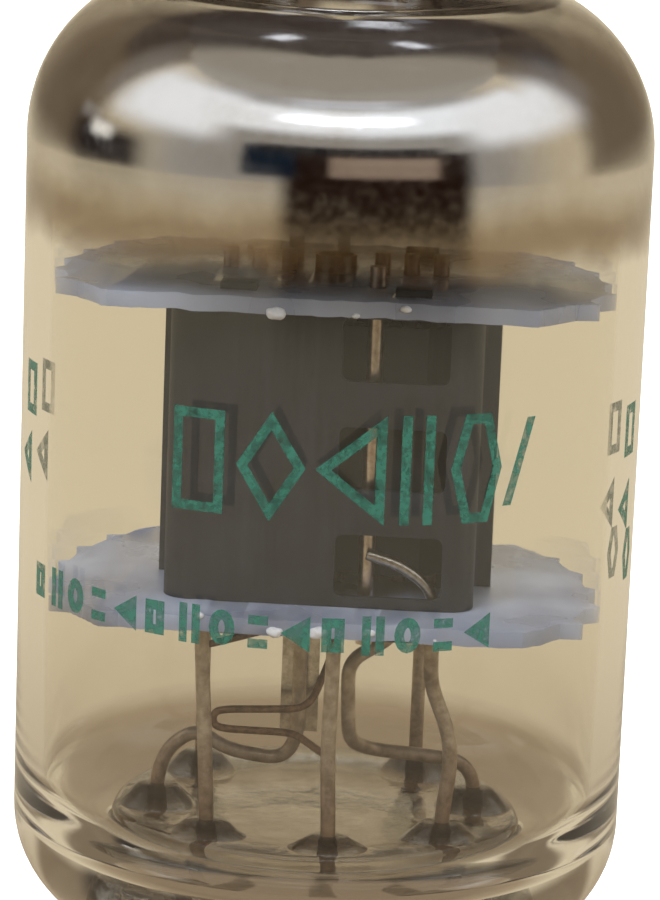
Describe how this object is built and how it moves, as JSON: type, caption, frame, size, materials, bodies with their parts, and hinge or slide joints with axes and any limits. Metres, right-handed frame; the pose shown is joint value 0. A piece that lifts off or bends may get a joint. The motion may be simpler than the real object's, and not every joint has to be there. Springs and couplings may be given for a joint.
{
  "type": "vacuum tube",
  "caption": "Miniature glass vacuum tube with a mirrored dome, a dark boxed electrode cage between mica spacers, a button stem and a ring of straight pins.",
  "frame": {"origin": "centre of the base seat, the flat underside of the glass button that rests on a tube socket", "axes": "+Z along the tube's axis towards the exhaust tip; the shield's window column looks to -Y; pin 4 is 8 degrees to the right of -Y and the gap between pins 1 and 7 is at the back"},
  "size_m": [0.018, 0.018, 0.0401],
  "materials": {
    "clear_glass": "polished, clear",
    "stem_glass": "moulded, greyish green",
    "getter_mirror": "evaporated mirror film, brown at its edge",
    "getter_steel": "pressed channel, dull after firing",
    "bright_nickel": "drawn nickel, satin",
    "mica": "split mica, pearly",
    "shield_steel": "dark carbonised sheet",
    "anode_steel": "black carbonised sheet",
    "copper_rod": "drawn rod, slightly pink",
    "grid_wire": "fine drawn wire",
    "cathode_oxide": "sprayed oxide, matt white",
    "alumina_coat": "sprayed insulation, matt",
    "oxidised_lead": "nickel wire, browned near the glass",
    "plated_pin": "plated, satin"
  },
  "bodies": {
    "root": {"envelope": "clear_glass", "getter_film": "getter_mirror", "getter_ring": "getter_steel", "getter_wire": "bright_nickel", "stem": "stem_glass", "bottom_mica": "mica", "top_mica": "mica", "shield_front": "shield_steel", "shield_back": "shield_steel", "anode": "anode_steel", "anode_rod_front": "copper_rod", "anode_rod_back": "copper_rod", "anode_strap": "bright_nickel", "suppressor_rods": "copper_rod", "suppressor_wire": "grid_wire", "suppressor_link": "bright_nickel", "screen_rods": "copper_rod", "screen_wire": "grid_wire", "control_rods": "copper_rod", "control_wire": "grid_wire", "cathode_sleeve": "bright_nickel", "cathode_coating": "cathode_oxide", "cathode_tab": "bright_nickel", "heater": "alumina_coat", "heater_long_tail": "oxidised_lead", "heater_short_tail": "oxidised_lead", "pin_1": "plated_pin", "lead_1": "oxidised_lead", "pin_2": "plated_pin", "lead_2": "oxidised_lead", "pin_3": "plated_pin", "lead_3": "oxidised_lead", "pin_4": "plated_pin", "lead_4": "oxidised_lead", "pin_5": "plated_pin", "lead_5": "oxidised_lead", "pin_6": "plated_pin", "lead_6": "oxidised_lead", "pin_7": "plated_pin", "lead_7": "oxidised_lead"}
  },
  "joints": []
}
